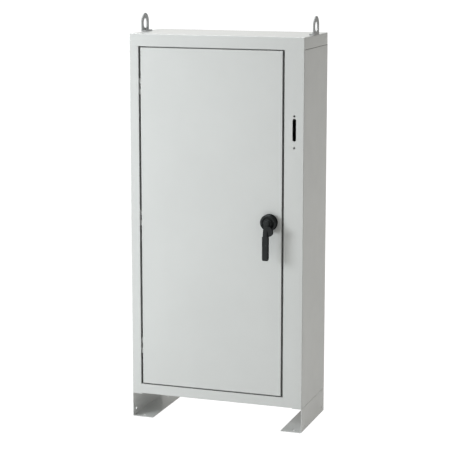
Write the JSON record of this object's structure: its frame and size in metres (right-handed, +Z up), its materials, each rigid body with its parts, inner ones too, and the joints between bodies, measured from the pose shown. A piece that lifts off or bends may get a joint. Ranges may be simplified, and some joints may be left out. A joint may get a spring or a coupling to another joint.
{
  "type": "floor-standing disconnect enclosure",
  "caption": "Tall light-grey sheet-steel cabinet on a low floor stand, with an inset hinged door, black lever handle, slotted right-hand flange and lifting eyes.",
  "frame": {"origin": "centre of the bounding box's footprint, on the floor under the legs", "axes": "+X to the right of someone facing the door, +Y towards the back panel, +Z up the cabinet's height"},
  "size_m": [0.9, 0.485, 2.046],
  "materials": {
    "painted_steel": "light grey satin powder coat",
    "zinc_plated_steel": "zinc plated, satin",
    "galvanised_sheet": "galvanised, satin",
    "black_plastic": "moulded, fine matt grain",
    "gasket_rubber": "closed-cell foam",
    "nylon": "natural"
  },
  "bodies": {
    "enclosure": {"roof_pan": "painted_steel", "left_side_wrap": "painted_steel", "right_side_wrap": "painted_steel", "disconnect_flange": "painted_steel", "back_panel": "painted_steel", "floor_pan": "painted_steel", "hinge_jamb": "painted_steel", "latch_jamb": "painted_steel", "top_jamb": "painted_steel", "bottom_jamb": "painted_steel", "leg_left": "painted_steel", "leg_right": "painted_steel", "hinge_frame_leaf_lower": "painted_steel", "hinge_frame_leaf_middle": "painted_steel", "hinge_frame_leaf_upper": "painted_steel", "lifting_eye_left": "zinc_plated_steel", "lifting_eye_right": "zinc_plated_steel", "lifting_eye_bolt_left": "zinc_plated_steel", "lifting_eye_bolt_right": "zinc_plated_steel", "panel_stud_lower_left": "zinc_plated_steel", "panel_stud_lower_right": "zinc_plated_steel", "panel_stud_upper_left": "zinc_plated_steel", "panel_stud_upper_right": "zinc_plated_steel", "panel_nut_lower_left": "zinc_plated_steel", "panel_nut_lower_right": "zinc_plated_steel", "panel_nut_upper_left": "zinc_plated_steel", "panel_nut_upper_right": "zinc_plated_steel", "earth_stud": "zinc_plated_steel", "earth_nut": "zinc_plated_steel", "hinge_pin_lower": "zinc_plated_steel", "hinge_pin_middle": "zinc_plated_steel", "hinge_pin_upper": "zinc_plated_steel", "sub_panel": "galvanised_sheet"},
    "door": {"door_skin": "painted_steel", "door_edge_hinge_side": "painted_steel", "door_edge_latch_side": "painted_steel", "door_edge_top": "painted_steel", "door_edge_bottom": "painted_steel", "door_gasket": "gasket_rubber", "door_stiffener_hinge_side": "painted_steel", "door_stiffener_latch_side": "painted_steel", "print_pocket": "painted_steel", "hinge_door_leaf_lower": "painted_steel", "hinge_door_leaf_middle": "painted_steel", "hinge_door_leaf_upper": "painted_steel", "upper_rod_guide_near": "zinc_plated_steel", "upper_rod_guide_far": "zinc_plated_steel", "lower_rod_guide_near": "zinc_plated_steel", "lower_rod_guide_far": "zinc_plated_steel", "handle_base": "black_plastic", "handle_screw_lower": "zinc_plated_steel", "handle_screw_upper": "zinc_plated_steel"},
    "handle": {"handle_lever": "black_plastic", "spindle": "zinc_plated_steel", "latch_cam": "zinc_plated_steel", "cam_screw": "zinc_plated_steel"},
    "upper_rod": {"upper_latch_rod": "zinc_plated_steel"},
    "lower_rod": {"lower_latch_rod": "zinc_plated_steel"},
    "upper_roller": {"upper_rod_roller": "nylon"},
    "lower_roller": {"lower_rod_roller": "nylon"}
  },
  "joints": [
    {"name": "door_hinge", "type": "hinge", "parent": "enclosure", "child": "door", "pos_m": [-0.39, -0.1568, 0.125], "axis": [0, 0, -1], "range_deg": [0, 115]},
    {"name": "handle_turn", "type": "hinge", "parent": "door", "child": "handle", "pos_m": [0.28, -0.1625, 1.054], "axis": [0, 1, 0], "range_deg": [0, 90]},
    {"name": "upper_rod_slide", "type": "slide", "parent": "door", "child": "upper_rod", "axis": [0, 0, -1], "range_m": [0, 0.0284]},
    {"name": "lower_rod_slide", "type": "slide", "parent": "door", "child": "lower_rod", "axis": [0, 0, 1], "range_m": [0, 0.0284]},
    {"name": "upper_roller_spin", "type": "hinge", "parent": "upper_rod", "child": "upper_roller", "pos_m": [0.3115, -0.1245, 1.863], "axis": [1, 0, 0], "continuous": true},
    {"name": "lower_roller_spin", "type": "hinge", "parent": "lower_rod", "child": "lower_roller", "pos_m": [0.2485, -0.1245, 0.206], "axis": [1, 0, 0], "continuous": true}
  ],
  "couplings": [
    {"joint": "upper_rod_slide", "follows": "handle_turn", "m_per_rad": 0.018006},
    {"joint": "lower_rod_slide", "follows": "handle_turn", "m_per_rad": 0.018006}
  ]
}
